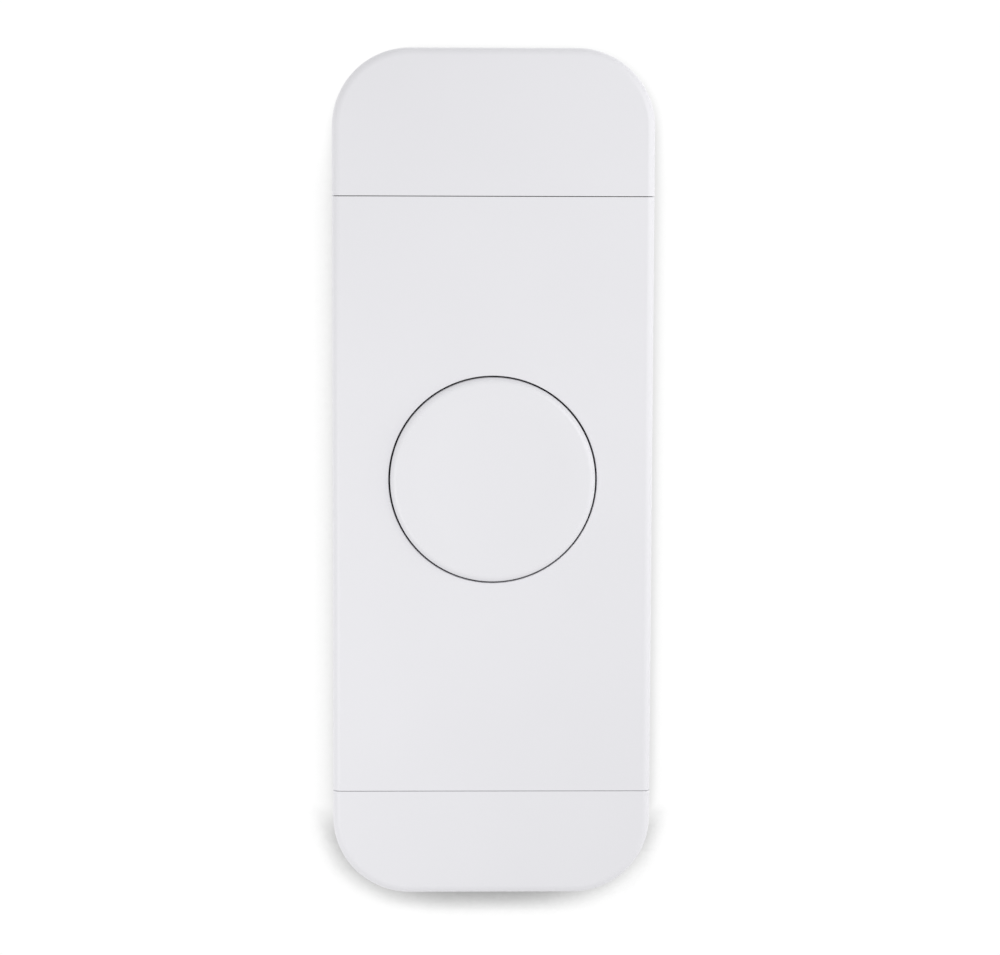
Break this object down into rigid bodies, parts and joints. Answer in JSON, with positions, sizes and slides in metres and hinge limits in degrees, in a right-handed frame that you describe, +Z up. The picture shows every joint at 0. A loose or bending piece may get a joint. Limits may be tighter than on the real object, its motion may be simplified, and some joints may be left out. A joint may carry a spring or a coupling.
{
  "type": "doorbell button unit",
  "caption": "Slim upright wall unit with a plain white front, a large round dished press button, and sliding end covers over the battery and the service bay.",
  "frame": {"origin": "on the wall surface, behind the middle of the unit", "axes": "+Y into the wall, so the front faces -Y; +Z up the wall along the unit's height; +X to the right seen from the front"},
  "size_m": [0.048, 0.026, 0.1274],
  "materials": {
    "casing_white": "satin",
    "button_white": "satin",
    "chassis_plastic": "matte",
    "plate_plastic": "matte",
    "frame_plastic": "matte",
    "black_plastic": "matte",
    "beige_plastic": "matte",
    "soft_seal": "matte",
    "foam": "matte",
    "zinc_steel": "satin",
    "spring_steel": "satin",
    "nickel": "satin",
    "brass": "satin",
    "circuit_board": "satin",
    "chip": "matte",
    "capacitor_can": "satin",
    "ferrite": "matte",
    "cell_wrap": "gloss",
    "lead_insulation": "satin",
    "pairing_orange": "satin",
    "light_lens": "gloss",
    "flex_film": "gloss"
  },
  "bodies": {
    "base": {"wall_plate": "plate_plastic", "chassis": "chassis_plastic", "center_shell": "casing_white", "button_frame": "frame_plastic", "frame_screws": "zinc_steel", "return_springs": "spring_steel", "main_board": "circuit_board", "board_screws": "zinc_steel", "switch_body": "black_plastic", "radio_shield": "nickel", "antenna": "brass", "board_chips": "chip", "capacitors": "capacitor_can", "inductor": "ferrite", "battery_cell": "cell_wrap", "battery_cradle": "black_plastic", "positive_contact": "nickel", "negative_contact": "nickel", "battery_leads": "lead_insulation", "terminal_inserts": "brass", "terminal_clamps": "brass", "terminal_screws": "zinc_steel", "service_board": "circuit_board", "service_screws": "zinc_steel", "pairing_switch": "black_plastic", "status_light": "light_lens", "flex_cable": "flex_film", "flex_connectors": "beige_plastic", "shell_screws": "zinc_steel", "release_screw": "zinc_steel", "shell_gasket": "soft_seal"},
    "top_cover": {"top_cover": "casing_white", "battery_pad": "foam"},
    "bottom_cover": {"bottom_cover": "casing_white"},
    "button": {"button_cap": "button_white", "button_seal": "soft_seal"},
    "plunger": {"switch_plunger": "black_plastic"},
    "pairing": {"pairing_button": "pairing_orange"}
  },
  "joints": [
    {"name": "button_press", "type": "slide", "parent": "base", "child": "button", "axis": [0, 1, 0], "range_m": [0, 0.0008], "stiffness_N_per_m": 2500, "springref_m": -0.0006, "deforming": ["return_springs"]},
    {"name": "plunger_press", "type": "slide", "parent": "base", "child": "plunger", "axis": [0, 1, 0], "range_m": [0, 0.0008]},
    {"name": "pairing_press", "type": "slide", "parent": "base", "child": "pairing", "axis": [0, 1, 0], "range_m": [0, 0.0003], "stiffness_N_per_m": 4000, "springref_m": -0.0002},
    {"name": "top_cover_slide", "type": "slide", "parent": "base", "child": "top_cover", "axis": [0, 0, 1], "range_m": [0, 0.024]},
    {"name": "bottom_cover_slide", "type": "slide", "parent": "base", "child": "bottom_cover", "axis": [0, 0, -1], "range_m": [0, 0.018]}
  ],
  "couplings": [
    {"joint": "plunger_press", "follows": "button_press", "ratio": 1}
  ]
}
